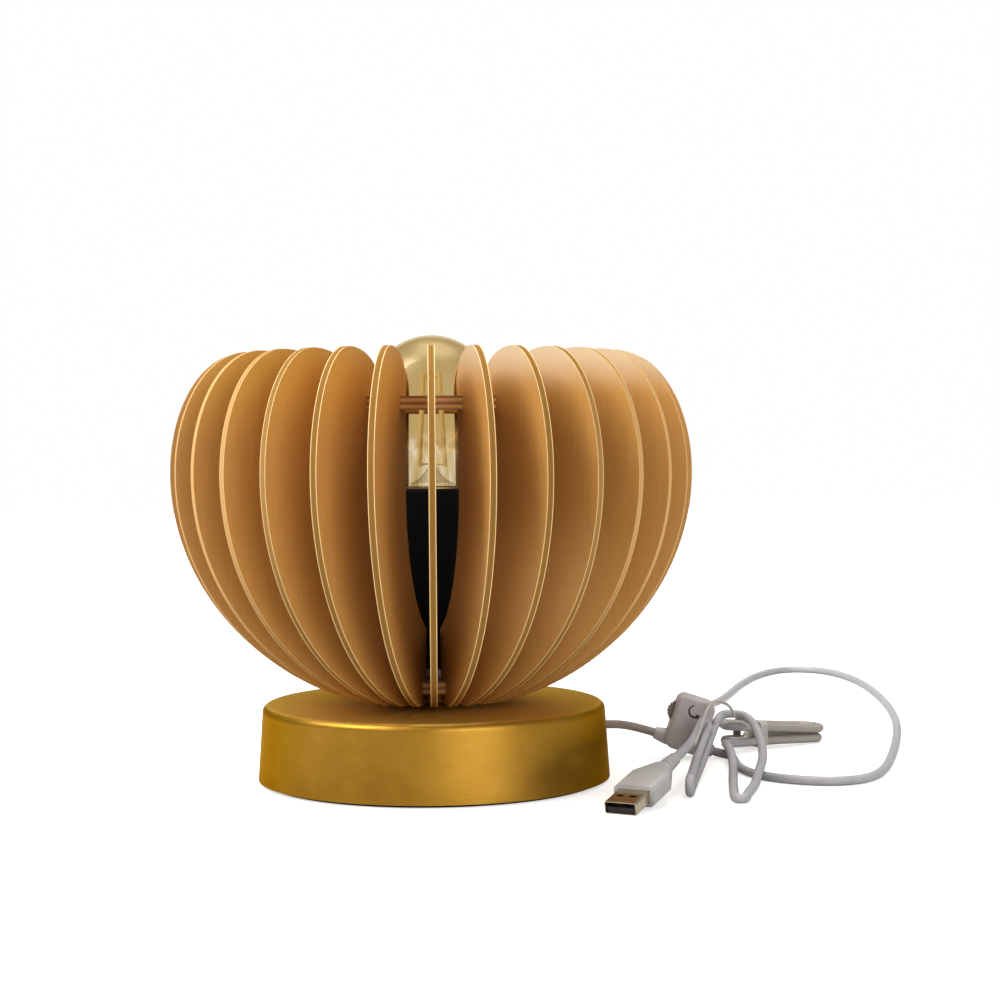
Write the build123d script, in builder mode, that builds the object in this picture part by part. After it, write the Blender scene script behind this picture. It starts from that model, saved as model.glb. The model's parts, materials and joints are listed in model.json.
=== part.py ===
from build123d import *
import os
from math import atan2, cos, degrees, hypot, pi, radians, sin, sqrt, tan

# Pumpkin table lamp: thirty upright plywood fins on a round gilded base.
# Millimetres, +Z up. The origin is the centre of the base on the table top,
# and the lamp is looked at from -Y.

# Shade, whose heights are counted from the fins' feet
shade_radius = 100.0
bowl_depth = 92.0
bowl_foot_cut = 5.0
apex_radius = 72.5
crown_rise = 45.7
fin_count = 30
fin_thickness = 2.5
fin_foot_gap = 1.8
fin_foot_corner = 2.0
inner_belly_radius = 52.0
inner_belly_drop = 5.8
inner_bowl_depth = 57.0
inner_stem_radius = 18.4
throat_radius = 49.5
lip_depth = 13.0
lap_gap = 0.05

# Rings that the fins are half-lapped into
upper_ring_reach = 10.5
upper_ring_width = 12.5
upper_ring_rise = 23.2
upper_ring_thickness = 5.0
upper_lap_depth = 5.4
lower_ring_radius = 27.0
lower_ring_thickness = 4.7
lower_lap_depth = 4.8

# Base
base_radius = 68.0
base_lean = 2.0
base_height = 30.0
base_shoulder_corner = 3.0
base_hem_height = 1.2
base_hem_corner = 2.0
base_hem_foot = 0.5
shell_wall = 1.3
pad_thickness = 2.5
pad_margin = 3.2
weight_thickness = 7.5
weight_gap = 0.1
weight_chamfer = 0.65

# Threaded tube and its nuts
tube_radius = 5.0
tube_bore_radius = 3.8
tube_foot_reach = 3.2
tube_head_reach = 3.0
tube_clearance = 0.05
nut_across_flats = 14.0
nut_thickness = 3.0
nut_corner = 0.5
collar_radius = 12.0
collar_thickness = 5.8
collar_corner = 0.8

# Lampholder
holder_radius = 19.0
holder_wall = 2.5
holder_skirt_length = 46.7
holder_bell_depth = 16.0
holder_neck_radius = 10.5
holder_neck_length = 6.5
holder_rim_lip = 1.2
spigot_length = 6.0
spigot_wall = 2.5
holder_gap = 0.2
core_thickness = 14.0
core_cup_height = 12.0
core_bore_gap = 0.6
sleeve_wall = 0.5
sleeve_length = 22.0
contact_rise = 2.0
contact_width = 8.0
contact_knee = 4.8
contact_crest = 2.4
contact_thickness = 0.6
contact_gap = 0.05

# Bulb, whose heights are counted from its tip
bulb_cap_radius = 13.0
bulb_cap_gap = 0.1
bulb_cap_length = 20.5
bulb_cap_wall = 0.4
bulb_cap_foot_radius = 5.5
bulb_tip_radius = 4.5
bulb_tip_thickness = 2.2
bulb_insulator_height = 4.6
bulb_tip_corner = 0.8
bulb_cap_bevel = 1.5
bulb_cap_floor = 2.0
globe_radius = 24.5
globe_rise = 59.0
bulb_neck_radius = 13.6
neck_blend_radius = 9.0
glass_wall = 0.8
stem_radius = 1.6
stem_top_rise = 70.0
stem_flare_radius = 8.5
stem_flare_height = 7.0
stem_flare_curve = 11.2
stem_seal_rise = 26.5
stem_bead_radius = 2.2
filament_count = 4
filament_radius = 0.95
filament_foot_rise = 33.0
filament_head_rise = 69.0
filament_foot_circle = 7.0
filament_head_circle = 4.2
filament_wire_radius = 0.4
filament_wire_gap = 0.05

# Cord, which is one lead of three and a half millimetres from the lampholder to the plug
cord_radius = 1.75
cord_clearance = 0.1
grommet_azimuth = 28.5
grommet_height = 15.0
grommet_body_radius = 3.2
grommet_flange_radius = 4.7
grommet_flange_thickness = 1.6
grommet_nose_length = 3.4
grommet_nose_radius = 2.6
grommet_seat_gap = 0.05

# Dimmer on the cord, tilted, with one end held up by the lead
dimmer_centre = (102.2, 42.5, 6.6)
dimmer_yaw = -4.0
dimmer_dip = 18.0
dimmer_length = 16.0
dimmer_height = 22.6
dimmer_depth = 14.0
dimmer_axis_height = 3.4
dimmer_seam_height = 3.4
dimmer_corner = 3.6
dimmer_edge = 1.6
seam_gap = 0.3
boot_length = 4.5
boot_root_radius = 3.3
boot_tip_radius = 2.4
boot_seat_depth = 3.5
wheel_radius = 4.6
wheel_thickness = 4.0
wheel_height = 11.2
wheel_proud = 2.4
wheel_clearance = 0.3
wheel_axle_radius = 1.0
wheel_axle_length = 1.6
wheel_axle_gap = 0.05
wheel_flute_count = 18
wheel_flute_radius = 0.35

# USB-A plug
plug_tip = (64.5, -84.0, 2.3)
plug_yaw = 60.0
plug_rise = 12.5
usb_width = 12.0
usb_height = 4.5
usb_sheet = 0.3
usb_length = 12.0
usb_root_length = 6.0
usb_corner = 0.7
usb_window_width = 2.4
usb_window_length = 2.0
usb_window_setback = 5.2
usb_window_spacing = 5.0
tongue_width = 10.9
tongue_thickness = 1.9
tongue_setback = 0.8
grip_width = 15.6
grip_height = 7.8
grip_block_length = 15.0
grip_taper_length = 11.0
grip_neck_width = 7.4
grip_neck_height = 6.2
grip_corner = 2.4
relief_length = 11.0
relief_root_radius = 3.0
relief_tip_radius = 2.4
relief_groove_count = 3
relief_groove_width = 1.3
relief_groove_depth = 0.5
relief_seat_depth = 3.0

# Hank: three flat loops of the cord in two layers that fan out towards the knot, drawn in at a tie
hank_centre = (141.8, 72.0, 3.2)
hank_azimuth = 33.0
hank_dip = 2.5
hank_half_run = 19.5
hank_waist_along = -10.0
hank_turn_radius = 3.6
hank_pitch = 4.0
hank_fan = 2.5
hank_waist_offset = 2.1
hank_waist_pitch = 4.2
hank_lead = 3.2
hank_corner_setback = 8.0
tie_length = 4.0
tie_thickness = 0.5
tie_gap = 0.2
tie_corner = 1.6
corner_share = 0.45

os.makedirs("parts", exist_ok=True)


# Heights and radii that follow from the sizes above

fin_foot_height = base_height + fin_foot_gap
belly_height = fin_foot_height - bowl_foot_cut + bowl_depth
apex_height = belly_height + crown_rise
inner_belly_height = belly_height - inner_belly_drop
throat_height = apex_height - lip_depth
upper_ring_radius = throat_radius + upper_ring_reach
upper_ring_height = belly_height + upper_ring_rise
upper_lap_radius = upper_ring_radius - upper_lap_depth


def base_radius_at(height):
    """Outer radius of the base's leaning side at a height."""
    share = height / (base_height - base_shoulder_corner)
    return base_radius - base_lean * share


def bowl_radius_at(height):
    """Outer radius of the fins below the belly."""
    drop = (belly_height - height) / bowl_depth
    return shade_radius * sqrt(1.0 - drop * drop)


def inner_drop_at(radius):
    """Height of the fins' inner edge, below the inner belly, at a radius."""
    share = radius / inner_belly_radius
    return inner_bowl_depth * sqrt(1.0 - share * share)


weight_height = pad_thickness + weight_thickness
base_shoulder_radius = base_radius - base_lean
hem_top = base_hem_height + base_hem_corner
ceiling_height = base_height - shell_wall
lower_ring_height = base_height + collar_thickness
lower_ring_top = lower_ring_height + lower_ring_thickness
lower_lap_radius = lower_ring_radius - lower_lap_depth
holder_foot_height = lower_ring_top + nut_thickness
holder_boss_height = holder_foot_height + holder_neck_length
holder_shoulder_height = holder_boss_height + holder_bell_depth
holder_rim_height = holder_shoulder_height + holder_skirt_length
tube_foot_height = ceiling_height - nut_thickness - tube_foot_reach
tube_head_height = holder_boss_height + nut_thickness + tube_head_reach
spigot_radius = holder_radius - holder_wall - holder_gap
spigot_top = holder_shoulder_height + spigot_length
core_top = spigot_top + core_thickness
sleeve_radius = bulb_cap_radius + bulb_cap_gap + sleeve_wall
contact_height = core_top + contact_rise
bulb_cap_foot = contact_height + bulb_insulator_height
bulb_cap_top = bulb_cap_foot + bulb_cap_length
globe_height = contact_height + globe_rise
stem_top_height = contact_height + stem_top_rise
stem_seal_height = contact_height + stem_seal_rise
filament_foot_height = contact_height + filament_foot_rise
filament_head_height = contact_height + filament_head_rise
nut_radius = nut_across_flats / 2


def radial_plane(azimuth, height=0.0):
    """Upright plane through the lamp's axis: local x runs outwards, local y runs up."""
    turn = radians(azimuth)
    outwards = (cos(turn), sin(turn), 0)
    normal = (sin(turn), -cos(turn), 0)
    return Plane(origin=(0, 0, height), x_dir=outwards, z_dir=normal)


# Fins

def fin_outline():
    """Crescent of plywood, drawn as radius against height."""
    foot_radius = bowl_radius_at(fin_foot_height)
    sweep_angle = degrees(atan2((belly_height - fin_foot_height) / bowl_depth, foot_radius / shade_radius))
    stem_drop = inner_drop_at(inner_stem_radius)
    inner_angle = degrees(atan2(stem_drop / inner_bowl_depth, inner_stem_radius / inner_belly_radius))
    with BuildSketch() as outline:
        with BuildLine():
            bowl = EllipticalCenterArc((0, belly_height), shade_radius, bowl_depth, -sweep_angle,
                                       arc_size=sweep_angle)
            crown = EllipticalCenterArc((apex_radius, belly_height), shade_radius - apex_radius,
                                        apex_height - belly_height, 0, arc_size=90)
            lip = EllipticalCenterArc((apex_radius, throat_height), apex_radius - throat_radius,
                                      apex_height - throat_height, 90, arc_size=90)
            inner_bowl = EllipticalCenterArc((0, inner_belly_height), inner_belly_radius, inner_bowl_depth,
                                             0, arc_size=-inner_angle)
            TangentArc(inner_bowl @ 0, lip @ 1, tangent=(0, 1))
            Polyline(inner_bowl @ 1, (inner_stem_radius, fin_foot_height), bowl @ 0)
        make_face()
        foot = outline.vertices().group_by(Axis.Y)[0]
        fillet(foot, radius=fin_foot_corner)
        upper_lap = upper_lap_radius + lap_gap
        lower_lap = lower_lap_radius + lap_gap
        slots = [
            (upper_lap, upper_ring_radius - upper_ring_width, upper_ring_height, upper_ring_thickness),
            (lower_lap, 0, lower_ring_height, lower_ring_thickness),
        ]
        for outer, inner, height, thickness in slots:
            with Locations(((outer + inner) / 2, height + thickness / 2)):
                Rectangle(outer - inner, thickness + 2 * lap_gap, mode=Mode.SUBTRACT)
    return outline.sketch


fin_face = fin_outline()
for number in range(fin_count):
    fin_azimuth = -90 + number * 360 / fin_count
    with BuildPart() as fin:
        with BuildSketch(radial_plane(fin_azimuth)):
            add(fin_face)
        extrude(amount=fin_thickness / 2, both=True)
    fin.part.label = f"fin_{number + 1:02d}"
    export_step(fin.part, f"parts/fin_{number + 1:02d}.step")


# Rings

def slotted_ring(outer, inner, lap, height, thickness):
    """Flat plywood ring with one open slot in its rim for each fin."""
    slot_floor = lap - lap_gap
    slot_reach = outer + fin_thickness
    with BuildPart() as ring:
        with BuildSketch(Plane.XY.offset(height)):
            Circle(outer)
            Circle(inner, mode=Mode.SUBTRACT)
            with PolarLocations((slot_floor + slot_reach) / 2, fin_count, start_angle=-90):
                Rectangle(slot_reach - slot_floor, fin_thickness + 2 * lap_gap, mode=Mode.SUBTRACT)
        extrude(amount=thickness)
    return ring.part


with BuildPart() as upper_ring:
    add(slotted_ring(upper_ring_radius, upper_ring_radius - upper_ring_width, upper_lap_radius,
                     upper_ring_height, upper_ring_thickness))
upper_ring.part.label = "upper_ring"
export_step(upper_ring.part, "parts/upper_ring.step")

with BuildPart() as lower_ring:
    add(slotted_ring(lower_ring_radius, tube_radius + tube_clearance, lower_lap_radius,
                     lower_ring_height, lower_ring_thickness))
lower_ring.part.label = "lower_ring"
export_step(lower_ring.part, "parts/lower_ring.step")


# Base shell: spun sheet with a leaning side, a rounded shoulder and an open foot
grommet_bore_radius = grommet_body_radius + cord_clearance / 2
with BuildPart() as base_shell:
    with BuildSketch(Plane.XZ) as shell_section:
        with BuildLine():
            Polyline(
                (0, base_height),
                (base_shoulder_radius, base_height),
                (base_radius_at(base_hem_height), base_hem_height),
                (0, base_hem_height),
                close=True,
            )
        make_face()
        rim = shell_section.vertices().filter_by(lambda corner: corner.X > 1)
        fillet(rim.sort_by(Axis.Y)[-1], radius=base_shoulder_corner)
        fillet(rim.sort_by(Axis.Y)[0], radius=base_hem_corner)
        with BuildLine():
            Polyline(
                (0, ceiling_height),
                (base_shoulder_radius - shell_wall - base_shoulder_corner / 2, ceiling_height),
                (base_radius_at(ceiling_height - base_shoulder_corner) - shell_wall,
                 ceiling_height - base_shoulder_corner / 2),
                (base_radius_at(hem_top) - shell_wall, hem_top),
                (base_radius_at(base_hem_height) - base_hem_corner - base_hem_foot, base_hem_height),
                (0, base_hem_height),
                close=True,
            )
        make_face(mode=Mode.SUBTRACT)
    revolve(axis=Axis.Z)
    with Locations((0, 0, base_height)):
        Hole(tube_radius + tube_clearance, depth=base_shoulder_corner)
    with BuildSketch(Plane(origin=(0, 0, grommet_height), x_dir=(0, 0, 1),
                           z_dir=(cos(radians(grommet_azimuth)), sin(radians(grommet_azimuth)), 0))):
        Circle(grommet_bore_radius)
    extrude(amount=base_radius + shell_wall, mode=Mode.SUBTRACT)
base_shell.part.label = "base_shell"
export_step(base_shell.part, "parts/base_shell.step")

# Cast disc that makes the base heavy, bonded inside the shell's skirt
weight_radius = base_radius_at(weight_height) - shell_wall - weight_gap
with BuildPart() as base_weight:
    with BuildSketch(Plane.XY.offset(pad_thickness)):
        Circle(weight_radius)
    extrude(amount=weight_thickness)
    chamfer(base_weight.edges().group_by(Axis.Z)[-1], length=weight_chamfer)
    chamfer(base_weight.edges().group_by(Axis.Z)[0], length=weight_chamfer)
base_weight.part.label = "base_weight"
export_step(base_weight.part, "parts/base_weight.step")

with BuildPart() as foot_pad:
    with BuildSketch():
        Circle(base_radius - pad_margin)
    extrude(amount=pad_thickness)
foot_pad.part.label = "foot_pad"
export_step(foot_pad.part, "parts/foot_pad.step")


# Threaded tube, nuts and spacer collar

with BuildPart() as threaded_tube:
    with BuildSketch(Plane.XY.offset(tube_foot_height)):
        Circle(tube_radius)
        Circle(tube_bore_radius, mode=Mode.SUBTRACT)
    extrude(amount=tube_head_height - tube_foot_height)
threaded_tube.part.label = "threaded_tube"
export_step(threaded_tube.part, "parts/threaded_tube.step")

nut_heights = (ceiling_height - nut_thickness, lower_ring_top, holder_boss_height)
with BuildPart() as tube_nuts:
    for nut_height in nut_heights:
        with BuildSketch(Plane.XY.offset(nut_height)) as nut_face:
            RegularPolygon(nut_radius, 6, major_radius=False)
            fillet(nut_face.vertices(), radius=nut_corner)
            Circle(tube_radius + tube_clearance, mode=Mode.SUBTRACT)
        extrude(amount=nut_thickness)
tube_nuts.part.label = "tube_nuts"
export_step(tube_nuts.part, "parts/tube_nuts.step")

with BuildPart() as spacer_collar:
    with BuildSketch(Plane.XY.offset(base_height)):
        Circle(collar_radius)
        Circle(tube_radius + tube_clearance, mode=Mode.SUBTRACT)
    extrude(amount=collar_thickness)
    collar_rims = spacer_collar.edges().filter_by(GeomType.CIRCLE).sort_by(SortBy.RADIUS)[-2:]
    fillet(collar_rims, radius=collar_corner)
spacer_collar.part.label = "spacer_collar"
export_step(spacer_collar.part, "parts/spacer_collar.step")


# Lampholder: a bell-shaped cap, a threaded skirt, an insulating core, a screw sleeve and a contact

with BuildPart() as holder_cap:
    with BuildSketch(Plane.XZ):
        with BuildLine():
            neck_foot = (holder_neck_radius, holder_foot_height)
            neck_head = (holder_neck_radius, holder_boss_height)
            shoulder = (holder_radius, holder_shoulder_height)
            TangentArc(shoulder, neck_head, tangent=(0, -1))
            Line(neck_head, neck_foot)
            Polyline(
                shoulder,
                (spigot_radius, holder_shoulder_height),
                (spigot_radius, spigot_top),
                (spigot_radius - spigot_wall, spigot_top),
                (spigot_radius - spigot_wall, holder_shoulder_height),
                (nut_across_flats / sqrt(3) + holder_gap, holder_boss_height),
                (tube_radius + tube_clearance, holder_boss_height),
                (tube_radius + tube_clearance, holder_foot_height),
                neck_foot,
            )
        make_face()
    revolve(axis=Axis.Z)
holder_cap.part.label = "holder_cap"
export_step(holder_cap.part, "parts/holder_cap.step")

with BuildPart() as holder_skirt:
    with BuildSketch(Plane.XZ) as skirt_section:
        with Locations((holder_radius - holder_wall / 2, (holder_shoulder_height + holder_rim_height) / 2)):
            Rectangle(holder_wall, holder_rim_height - holder_shoulder_height)
        fillet(skirt_section.vertices().group_by(Axis.Y)[-1], radius=holder_rim_lip)
    revolve(axis=Axis.Z)
holder_skirt.part.label = "holder_skirt"
export_step(holder_skirt.part, "parts/holder_skirt.step")

with BuildPart() as holder_core:
    with BuildSketch(Plane.XZ):
        with BuildLine():
            core_radius = holder_radius - holder_wall - holder_gap
            Polyline(
                (cord_radius + core_bore_gap, spigot_top),
                (core_radius, spigot_top),
                (core_radius, core_top + core_cup_height),
                (sleeve_radius + holder_gap, core_top + core_cup_height),
                (sleeve_radius + holder_gap, core_top),
                (cord_radius + core_bore_gap, core_top),
                close=True,
            )
        make_face()
    revolve(axis=Axis.Z)
holder_core.part.label = "holder_core"
export_step(holder_core.part, "parts/holder_core.step")

with BuildPart() as screw_sleeve:
    with BuildSketch(Plane.XY.offset(core_top)):
        Circle(sleeve_radius)
        Circle(sleeve_radius - sleeve_wall, mode=Mode.SUBTRACT)
    extrude(amount=sleeve_length)
screw_sleeve.part.label = "screw_sleeve"
export_step(screw_sleeve.part, "parts/screw_sleeve.step")

# Contact: a bridge of sprung brass that stands on the core and meets the bulb's tip
with BuildPart() as centre_contact:
    with BuildSketch(Plane.XZ):
        with BuildLine() as bridge:
            leg_height = core_top + contact_thickness / 2
            crest_height = contact_height - contact_gap - contact_thickness / 2
            FilletPolyline(
                (-contact_width, leg_height),
                (-contact_knee, leg_height),
                (-contact_crest, crest_height),
                (contact_crest, crest_height),
                (contact_knee, leg_height),
                (contact_width, leg_height),
                radius=contact_thickness,
            )
        trace(bridge.line, line_width=contact_thickness)
    extrude(amount=contact_width / 2, both=True)
centre_contact.part.label = "centre_contact"
export_step(centre_contact.part, "parts/centre_contact.step")


# Bulb: glass globe, screw cap with its insulator, solder tip, glass stem and four filaments

def globe_outline(skin):
    """Half section of the globe and its neck, drawn inside the outer surface by skin."""
    radius = globe_radius - skin
    neck = bulb_neck_radius - skin
    blend = neck_blend_radius + skin
    blend_reach = neck + blend
    blend_drop = sqrt((radius + blend) ** 2 - blend_reach ** 2)
    share = radius / (radius + blend)
    blend_height = globe_height - blend_drop
    touch = (blend_reach * share, globe_height - blend_drop * share)
    foot_height = bulb_cap_top
    with BuildSketch() as outline:
        with BuildLine():
            ball = ThreePointArc((0, globe_height + radius), (radius, globe_height), touch)
            neck_curve = TangentArc(ball @ 1, (neck, blend_height), tangent=ball % 1)
            Polyline(neck_curve @ 1, (neck, foot_height), (0, foot_height), (0, globe_height + radius))
        make_face()
    return outline.sketch


with BuildPart() as bulb_glass:
    with BuildSketch(Plane.XZ):
        add(globe_outline(0))
        add(globe_outline(glass_wall), mode=Mode.SUBTRACT)
    revolve(axis=Axis.Z)
bulb_glass.part.label = "bulb_glass"
export_step(bulb_glass.part, "parts/bulb_glass.step")

# Cap: a tin cup with rolled thread, closed by a black insulator that tapers to the solder tip
with BuildPart() as bulb_cap:
    with BuildSketch(Plane.XZ):
        with BuildLine():
            insulator_foot = contact_height + bulb_tip_thickness + contact_gap
            Polyline(
                (0, insulator_foot),
                (bulb_cap_foot_radius, insulator_foot),
                (bulb_cap_radius - bulb_cap_bevel, bulb_cap_foot),
                (bulb_cap_radius, bulb_cap_foot + bulb_cap_bevel),
                (bulb_cap_radius, bulb_cap_top),
                (bulb_cap_radius - bulb_cap_wall, bulb_cap_top),
                (bulb_cap_radius - bulb_cap_wall, bulb_cap_foot + bulb_cap_floor),
                (0, bulb_cap_foot + bulb_cap_floor),
                close=True,
            )
        make_face()
    revolve(axis=Axis.Z)
bulb_cap.part.label = "bulb_cap"
export_step(bulb_cap.part, "parts/bulb_cap.step")

with BuildPart() as bulb_contact:
    with BuildSketch(Plane.XY.offset(contact_height)):
        Circle(bulb_tip_radius)
    extrude(amount=bulb_tip_thickness)
    fillet(bulb_contact.edges().group_by(Axis.Z)[0], radius=bulb_tip_corner)
bulb_contact.part.label = "bulb_contact"
export_step(bulb_contact.part, "parts/bulb_contact.step")

# Stem: a trumpet of glass sealed into the neck, drawn out into a rod with a bead on top
stem_foot_height = bulb_cap_foot + bulb_cap_floor
with BuildPart() as bulb_stem:
    with BuildSketch(Plane.XZ):
        with BuildLine():
            flare_foot = (stem_flare_radius, stem_seal_height)
            flare_head = (stem_radius, stem_seal_height + stem_flare_height)
            flare = RadiusArc(flare_foot, flare_head, radius=stem_flare_curve)
            Polyline(
                flare @ 1,
                (stem_radius, stem_top_height - stem_bead_radius),
                (0, stem_top_height - stem_bead_radius),
                (0, stem_foot_height),
                (stem_flare_radius, stem_foot_height),
                flare @ 0,
            )
        make_face()
    revolve(axis=Axis.Z)
    with Locations((0, 0, stem_top_height - stem_bead_radius)):
        Sphere(stem_bead_radius)
bulb_stem.part.label = "bulb_stem"
export_step(bulb_stem.part, "parts/bulb_stem.step")

# Filaments: leaning rods, each held by a wire at its foot and its head that reaches the stem
with BuildPart() as bulb_filaments:
    for number in range(filament_count):
        turn = 2 * pi * (number + 0.5) / filament_count
        outwards = Vector(cos(turn), sin(turn), 0)
        foot = outwards * filament_foot_circle + Vector(0, 0, filament_foot_height)
        head = outwards * filament_head_circle + Vector(0, 0, filament_head_height)
        rod = Plane(origin=foot, z_dir=head - foot)
        with BuildSketch(rod):
            Circle(filament_radius)
        extrude(amount=(head - foot).length)
        wires = ((foot, filament_radius, stem_radius), (head, -filament_radius, stem_bead_radius))
        for joint, wire_drop, root_radius in wires:
            wire_root = outwards * (root_radius + filament_wire_gap)
            wire_height = joint.Z + wire_drop
            with BuildSketch(Plane(origin=wire_root + Vector(0, 0, wire_height), z_dir=outwards)):
                Circle(filament_wire_radius)
            extrude(amount=hypot(joint.X, joint.Y) - wire_root.length)
bulb_filaments.part.label = "bulb_filaments"
export_step(bulb_filaments.part, "parts/bulb_filaments.step")


# Cord grommet, pressed into the base's rear right side
exit_turn = radians(grommet_azimuth)
exit_direction = Vector(cos(exit_turn), sin(exit_turn), 0)
grommet_face = base_radius_at(grommet_height - grommet_flange_radius) + grommet_seat_gap
with BuildPart() as cord_grommet:
    with BuildSketch(radial_plane(grommet_azimuth, grommet_height)):
        with BuildLine():
            bore = cord_radius + cord_clearance
            inner_face = base_radius_at(grommet_height + grommet_flange_radius) - shell_wall - 2 * grommet_seat_gap
            nose_root = grommet_face + grommet_flange_thickness
            Polyline(
                (inner_face - grommet_flange_thickness, bore),
                (inner_face - grommet_flange_thickness, grommet_body_radius),
                (inner_face, (grommet_body_radius + grommet_flange_radius) / 2),
                (inner_face, grommet_body_radius),
                (grommet_face, grommet_body_radius),
                (grommet_face, grommet_flange_radius),
                (nose_root, grommet_flange_radius - grommet_flange_thickness / 2),
                (nose_root, grommet_body_radius),
                (nose_root + grommet_nose_length, grommet_nose_radius),
                (nose_root + grommet_nose_length, bore),
                close=True,
            )
        make_face()
    revolve(axis=Axis(origin=(0, 0, grommet_height), direction=exit_direction))
cord_grommet.part.label = "cord_grommet"
export_step(cord_grommet.part, "parts/cord_grommet.step")


# Dimmer: two moulded shells round the cord, with a fluted thumb wheel in the upper one

yaw = radians(dimmer_yaw)
dip = radians(dimmer_dip)
dimmer_run = Vector(cos(dip) * cos(yaw), cos(dip) * sin(yaw), -sin(dip))
dimmer_front = Vector(sin(yaw), -cos(yaw), 0)
dimmer_plane = Plane(origin=dimmer_centre, x_dir=dimmer_run, z_dir=dimmer_front)
wheel_along = -dimmer_length / 2 + wheel_radius - wheel_proud
wheel_slot_half = wheel_thickness / 2 + wheel_clearance
boot_reach = dimmer_length / 2 + boot_length

with BuildPart() as dimmer_block:
    with BuildSketch(dimmer_plane):
        with Locations((0, dimmer_height / 2 - dimmer_axis_height)):
            RectangleRounded(dimmer_length, dimmer_height, dimmer_corner)
    extrude(amount=dimmer_depth / 2, both=True)
    broad_faces = dimmer_block.faces().filter_by(Axis(dimmer_centre, dimmer_front))
    fillet(broad_faces.edges(), radius=dimmer_edge)

with BuildPart() as boot_pair:
    with BuildSketch(dimmer_plane):
        with BuildLine():
            Polyline(
                (-boot_reach, 0),
                (-boot_reach, boot_tip_radius),
                (-dimmer_length / 2, boot_root_radius),
                (dimmer_length / 2, boot_root_radius),
                (boot_reach, boot_tip_radius),
                (boot_reach, 0),
                close=True,
            )
        make_face()
    revolve(axis=Axis(origin=dimmer_centre, direction=dimmer_run))


def dimmer_half(low, high):
    """Slab of the dimmer's space between two heights above the cord's axis."""
    slab = Location(dimmer_plane) * Pos(0, (low + high) / 2, 0)
    return slab * Box(4 * dimmer_length, high - low, 2 * dimmer_depth)


with BuildPart() as dimmer_bottom:
    add(dimmer_block.part)
    add(boot_pair.part)
    add(dimmer_half(-dimmer_height, dimmer_seam_height - seam_gap / 2), mode=Mode.INTERSECT)
    for side in (-1, 1):
        seat = Plane(origin=dimmer_plane.from_local_coords((side * boot_reach, 0, 0)), z_dir=dimmer_run * -side)
        with BuildSketch(seat):
            Circle(cord_radius + cord_clearance)
        extrude(amount=boot_seat_depth, mode=Mode.SUBTRACT)
dimmer_bottom.part.label = "dimmer_bottom"
export_step(dimmer_bottom.part, "parts/dimmer_bottom.step")

with BuildPart() as dimmer_top:
    add(dimmer_block.part)
    add(dimmer_half(dimmer_seam_height - seam_gap / 2, dimmer_height), mode=Mode.INTERSECT)
    with BuildSketch(dimmer_plane):
        with Locations((wheel_along, wheel_height)):
            Circle(wheel_radius + wheel_clearance)
    extrude(amount=wheel_slot_half, both=True, mode=Mode.SUBTRACT)
    with BuildSketch(dimmer_plane):
        with Locations((wheel_along, wheel_height)):
            Circle(wheel_axle_radius + wheel_axle_gap)
    extrude(amount=wheel_thickness / 2 + wheel_axle_length + wheel_clearance, both=True, mode=Mode.SUBTRACT)
dimmer_top.part.label = "dimmer_top"
export_step(dimmer_top.part, "parts/dimmer_top.step")

with BuildPart() as dimmer_wheel:
    with BuildSketch(dimmer_plane):
        with Locations((wheel_along, wheel_height)):
            Circle(wheel_radius)
            with PolarLocations(wheel_radius, wheel_flute_count):
                Circle(wheel_flute_radius, mode=Mode.SUBTRACT)
    extrude(amount=wheel_thickness / 2, both=True)
    with BuildSketch(dimmer_plane):
        with Locations((wheel_along, wheel_height)):
            Circle(wheel_axle_radius)
    extrude(amount=wheel_thickness / 2 + wheel_axle_length, both=True)
dimmer_wheel.part.label = "dimmer_wheel"
export_step(dimmer_wheel.part, "parts/dimmer_wheel.step")


# USB-A plug: folded steel shell, tongue and moulded grip with a grooved strain relief

plug_turn = radians(plug_yaw)
plug_lift = radians(plug_rise)
plug_back = Vector(cos(plug_turn) * cos(plug_lift), sin(plug_turn) * cos(plug_lift), sin(plug_lift))
plug_side = Vector(sin(plug_turn), -cos(plug_turn), 0)


def plug_plane(setback):
    """Cross-section plane of the plug at a distance behind the mouth."""
    return Plane(origin=Vector(*plug_tip) + plug_back * setback, x_dir=plug_side, z_dir=plug_back)


with BuildPart() as usb_shell:
    with BuildSketch(plug_plane(0)):
        RectangleRounded(usb_width, usb_height, usb_corner)
        RectangleRounded(usb_width - 2 * usb_sheet, usb_height - 2 * usb_sheet, usb_corner - usb_sheet,
                         mode=Mode.SUBTRACT)
    extrude(amount=usb_length + usb_root_length)
    with BuildSketch(plug_plane(usb_window_setback)):
        with GridLocations(usb_window_spacing, 0, 2, 1):
            Rectangle(usb_window_width, 2 * usb_height)
    extrude(amount=usb_window_length, mode=Mode.SUBTRACT)
usb_shell.part.label = "usb_shell"
export_step(usb_shell.part, "parts/usb_shell.step")

with BuildPart() as usb_tongue:
    tongue_drop = (usb_height / 2 - usb_sheet - tongue_thickness / 2) - lap_gap
    with BuildSketch(plug_plane(tongue_setback)):
        with Locations((0, tongue_drop)):
            Rectangle(tongue_width, tongue_thickness)
    extrude(amount=usb_length - tongue_setback)
    with BuildSketch(plug_plane(usb_length)):
        Rectangle(tongue_width, usb_height - 2 * usb_sheet - 2 * lap_gap)
    extrude(amount=usb_root_length)
usb_tongue.part.label = "usb_tongue"
export_step(usb_tongue.part, "parts/usb_tongue.step")

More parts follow.
